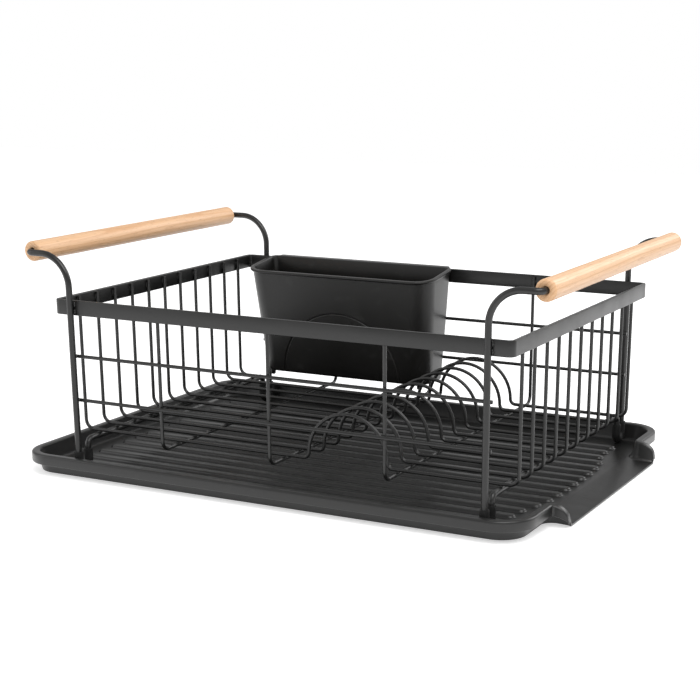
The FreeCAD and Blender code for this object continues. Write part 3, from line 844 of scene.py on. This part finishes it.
@dataclass
class CutleryCaddy:
    """The tub that hangs on the back of the band: tapered walls, rolled rim, hook, slots and nubs."""

    finish: bpy.types.Material
    height: float = 101.0 * MM
    rim: float = 2.4 * MM
    side_draft: float = 8.0 * MM
    front_draft: float = 13.0 * MM
    front_radius: float = 18.0 * MM
    back_radius: float = 6.0 * MM
    wall: float = 2.0 * MM
    hook_length: float = 184.0 * MM
    hook_wall: float = 1.8 * MM
    hook_drop: float = 9.0 * MM
    band_clearance: float = 0.3 * MM
    back_clearance: float = 0.3 * MM
    arch_radius: float = 63.0 * MM
    arch_line: float = 1.25 * MM
    slot_count: int = 7
    slot_pitch: float = 22.0 * MM
    slot_width: float = 4.0 * MM
    nub_height: float = 4.8 * MM

    def build(self) -> None:
        """Build the tub, carve its line and slots, and add the hook and nubs."""
        low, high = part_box("cutlery_caddy")
        band_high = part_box("rim_band")[1]
        riser_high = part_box("floor_rail_middle")[1]
        self.base = low.z + self.nub_height
        self.rise = high.z - self.base - self.height
        self.centre = (low.x + high.x) / 2
        self.half = (high.x - low.x) / 2 - self.rim
        self.front = low.y + self.rim
        self.back = riser_high.y - 3.0 * MM - self.back_clearance
        mesh = bmesh.new()
        self.tub(mesh)
        piece = add_piece("cutlery_caddy_moulded", mesh, self.finish, "caddy", ("cutlery_caddy",),
                          crease=40.0)
        carve(piece, self.cutters())
        extras = bmesh.new()
        extras.from_mesh(piece.data)
        self.hook(extras, band_high)
        self.nubs(extras)
        bmesh.ops.recalc_face_normals(extras, faces=extras.faces)
        extras.to_mesh(piece.data)
        extras.free()
        piece.data.shade_smooth()
        piece.data.set_sharp_from_angle(angle=math.radians(38))

    def outline(self, height: float, grow: float) -> list[Vector]:
        """Draw the wall's outline.

        Args:
            height: above the base.
            grow: how far the walls move out.

        Returns:
            The outline's points, raised towards the back near the rim.
        """
        share = 1 - height / self.height
        half = self.half - self.side_draft * share + grow
        front = self.front + self.front_draft * share - grow
        back = self.back + min(grow, 0.0)
        low = Vector((self.centre - half, front, 0))
        high = Vector((self.centre + half, back, 0))
        front_radius, back_radius = self.front_radius + grow, max(self.back_radius + grow, 0.6 * MM)
        points = rounded_rectangle(low, high, [front_radius, back_radius, back_radius, front_radius],
                                   self.base + height, 12)
        near = min(max((height - 0.6 * self.height) / (0.4 * self.height), 0.0), 1.0)
        for point in points:
            point.z += self.rise * near * (point.y - self.front) / (self.back - self.front)
        return points

    def tub(self, mesh: bmesh.types.BMesh) -> None:
        """Add the open tub with its rolled rim."""
        top, wall = self.height, self.wall
        section = [(wall, -wall - 4.0 * MM), (wall + 0.3 * MM, -wall - 1.8 * MM),
                   (wall + 1.2 * MM, -wall - 0.5 * MM), (wall + 3.0 * MM, -wall)]
        section += [(wall + (top - wall) * k / 6, -wall) for k in range(1, 6)]
        section += [(top - 0.8 * MM, -wall), (top - 0.2 * MM, -wall + 0.3 * MM),
                    (top, -wall + 1.0 * MM)]
        rim = self.rim
        section += [(top, rim - 1.2 * MM), (top - 0.25 * MM, rim - 0.45 * MM), (top - 0.8 * MM, rim - 0.08 * MM),
                    (top - 1.4 * MM, rim), (top - 2.1 * MM, rim - 0.2 * MM), (top - 2.6 * MM, rim - 0.9 * MM),
                    (top - 2.7 * MM, 0.5 * MM), (top - 3.2 * MM, 0.0)]
        section += [(top * k / 8, 0.0) for k in range(7, 0, -1)]
        section += [(2.2 * MM, 0.0), (1.0 * MM, -0.35 * MM), (0.3 * MM, -1.1 * MM), (0.0, -2.2 * MM)]
        stack(mesh, [self.outline(height, grow) for height, grow in section])

    def front_at(self, height: float) -> float:
        """Return where the front wall stands at a height above the base."""
        return self.front + self.front_draft * (1 - height / self.height)

    def cutters(self) -> bmesh.types.BMesh:
        """Return what is carved away: the arched line on the front and the drain slots."""
        mesh = bmesh.new()
        path = []
        for k in range(49):
            angle = math.pi * k / 48
            height = self.arch_radius * math.sin(angle)
            path.append(Vector((self.centre + self.arch_radius * math.cos(angle),
                                self.front_at(height) - 0.25 * MM, self.base + height)))
        start = [Vector((p.x, p.y + 0.3 * MM, self.base - 6 * MM)) for p in (path[0], path[-1])]
        sweep_tube(mesh, [start[0]] + path + [start[1]], self.arch_line, 14)
        bottom_front = self.front + self.front_draft + 8.0 * MM
        for index in range(self.slot_count):
            x = self.centre + (index - (self.slot_count - 1) / 2) * self.slot_pitch
            low = Vector((x - self.slot_width / 2, bottom_front, 0))
            high = Vector((x + self.slot_width / 2, self.back - 8.0 * MM, 0))
            radii = [self.slot_width / 2 * 0.98] * 4
            stack(mesh, [rounded_rectangle(low, high, radii, self.base + z, 5) for z in (-2 * MM, 6 * MM)])
        return mesh

    def hook(self, mesh: bmesh.types.BMesh, band_high: Vector) -> None:
        """Add the lip that goes up the back, over the band and down behind it."""
        wall = self.hook_wall
        under = band_high.z + self.band_clearance
        top = under + wall
        inner = self.back - wall
        outer = band_high.y + self.band_clearance + wall
        bottom = under - self.hook_drop
        rim_z = self.base + self.height - 3.0 * MM
        corner = 1.4 * MM
        spine = rounded_path([Vector((0, inner, rim_z)), Vector((0, inner, top)), Vector((0, outer, top)),
                              Vector((0, outer, bottom))], [corner + wall * 0.5, corner + wall * 0.5], 8)
        spine += [Vector((0, outer - wall * 0.5, bottom)),
                  Vector((0, outer - wall, bottom + 0.4 * MM))]
        spine += rounded_path([Vector((0, outer - wall, bottom + 0.5 * MM)), Vector((0, outer - wall, under)),
                               Vector((0, self.back, under)), Vector((0, self.back, rim_z))], [0.5 * MM] * 2, 5)
        half = self.hook_length / 2
        outlines = []
        for x, shrink in ((-half, 0.55), (-half + 0.3 * MM, 0.2), (-half + 0.9 * MM, 0.0),
                          (half - 0.9 * MM, 0.0), (half - 0.3 * MM, 0.2), (half, 0.55)):
            ring = []
            for index, point in enumerate(spine):
                before, after = spine[index - 1], spine[(index + 1) % len(spine)]
                heading = (after - before).normalized()
                inward = Vector((0, heading.z, -heading.y))
                ring.append(Vector((self.centre + x, 0, 0)) + point + inward * shrink * MM * 0.6)
            outlines.append(ring)
        stack(mesh, outlines)

    def nubs(self, mesh: bmesh.types.BMesh) -> None:
        """Add the small feet under the base."""
        y_front = self.front + self.front_draft + 7.0 * MM
        y_back = self.back - 7.0 * MM
        reach = self.half - self.side_draft - 9.0 * MM
        for x in (self.centre - reach, self.centre + reach):
            for y in (y_front, y_back):
                rings = []
                for z, r in ((0.5, 2.5), (-3.8, 2.3), (-4.5, 1.9), (-4.8, 1.2)):
                    rings.append([Vector((x + r * MM * math.cos(a), y + r * MM * math.sin(a),
                                          self.base + z * MM))
                                  for a in (2 * math.pi * k / 16 for k in range(16))])
                stack(mesh, rings)


# ---- studio ------------------------------------------------------------------------------------------


@dataclass
class Studio:
    """Camera, floor and soft light round the object."""

    camera_place: Vector = Vector((0.6377, -1.2011, 0.3668))
    camera_yaw: float = -0.4723
    camera_pitch: float = 0.3143
    lens: float = 80.03
    shift: tuple[float, float] = (-0.0445, 0.2695)
    floor_size: float = 6.0

    def build(self) -> None:
        """Set up the whole studio."""
        self.camera()
        self.floor()
        self.world()
        self.lamp("key_softbox", Vector((0.7, -0.6, 1.5)), Vector((0.0, 0.0, 0.05)), (1.3, 1.0), 17.0)
        self.lamp("fill_softbox", Vector((-1.5, -0.9, 0.7)), Vector((0.0, 0.0, 0.08)), (0.9, 1.2), 5.0)
        self.lamp("back_softbox", Vector((0.9, 1.4, 1.0)), Vector((0.1, 0.0, 0.1)), (1.4, 0.8), 10.0)
        bpy.context.scene.view_settings.view_transform = "Standard"

    def camera(self) -> None:
        """Stand the camera at the front right, a little above."""
        data = bpy.data.cameras.new("camera")
        data.lens = self.lens
        data.sensor_width = 36.0
        data.shift_x, data.shift_y = self.shift
        data.clip_start, data.clip_end = 0.01, 30.0
        camera = bpy.data.objects.new("camera", data)
        camera.location = self.camera_place
        camera.rotation_euler = Euler((math.pi / 2 - self.camera_pitch, 0.0, -self.camera_yaw), "XYZ")
        bpy.context.scene.collection.objects.link(camera)
        bpy.context.scene.camera = camera

    def floor(self) -> None:
        """Lay the floor at the height of the object's feet."""
        mesh = bmesh.new()
        half = self.floor_size / 2
        corners = [mesh.verts.new((x * half, y * half, CAD_BOX[0].z))
                   for x, y in ((-1, -1), (1, -1), (1, 1), (-1, 1))]
        mesh.faces.new(corners)
        data = bpy.data.meshes.new("floor")
        mesh.to_mesh(data)
        mesh.free()
        data.materials.append(PaleFloor().build())
        floor = bpy.data.objects.new("floor", data)
        bpy.context.scene.collection.objects.link(floor)

    def world(self) -> None:
        """Light the room evenly, and show it white to the camera and to transmitted rays."""
        world = bpy.data.worlds.new("room")
        bpy.context.scene.world = world
        bench = NodeBench(world)
        rays = bench.add("ShaderNodeLightPath").outputs
        seen = bench.math("MAXIMUM", rays["Is Camera Ray"], rays["Is Transmission Ray"])
        strength = bench.math("MAXIMUM", seen, 0.62)
        sky = bench.add("ShaderNodeBackground", {"Color": (1, 1, 1, 1), "Strength": strength})
        bench.add("ShaderNodeOutputWorld", {"Surface": sky.outputs[0]})

    def lamp(self, name: str, place: Vector, target: Vector, size: tuple[float, float], power: float) -> None:
        """Add one rectangular softbox.

        Args:
            name: the lamp's name.
            place: where it stands.
            target: what it points at.
            size: its width and height.
            power: watts.
        """
        data = bpy.data.lights.new(name, "AREA")
        data.shape = "RECTANGLE"
        data.size, data.size_y = size
        data.energy = power
        lamp = bpy.data.objects.new(name, data)
        lamp.location = place
        lamp.rotation_euler = (target - place).to_track_quat("-Z", "Y").to_euler()
        bpy.context.scene.collection.objects.link(lamp)


def dress(names: list[str], finish: bpy.types.Material) -> None:
    """Give CAD nodes that keep their own shape a finish.

    Args:
        names: the nodes.
        finish: their material.
    """
    for name in names:
        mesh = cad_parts[name].data
        mesh.materials.clear()
        mesh.materials.append(finish)
        LOG.info("dressed %s", name)


def main() -> None:
    """Build every sub-assembly in order."""
    logging.basicConfig(level=logging.INFO, format="%(name)s: %(message)s")
    Studio().build()
    coat = PowderCoat().build()
    rubber = SoftRubber().build()
    nodes = list(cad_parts)
    wires = [n for n in nodes if n.startswith("cross_wire") or n.endswith("_loop") or "rail" in n]
    dress(wires, coat)
    dress([n for n in nodes if n.endswith("_boot") or n == "tray_feet"], rubber)
    RimBand(coat).build()
    WeldBeads(coat).build()
    WoodGrip("left_grip", "left_handle", Vector((-0.021, 0, -0.034))).build()
    WoodGrip("right_grip", "right_handle", Vector((0.030, 0, -0.022))).build()
    tray = MouldedPlastic("tray_plastic_black", linear(26, 26, 26), linear(40, 40, 39), 0.30, 0.46).build()
    DripTray(tray).build()
    caddy = MouldedPlastic("caddy_plastic_black", linear(20, 20, 19), linear(30, 29, 28), 0.28, 0.40,
                           flow=(14.0, 14.0, 3.0)).build()
    CutleryCaddy(caddy).build()


if __name__ == "__main__":
    main()
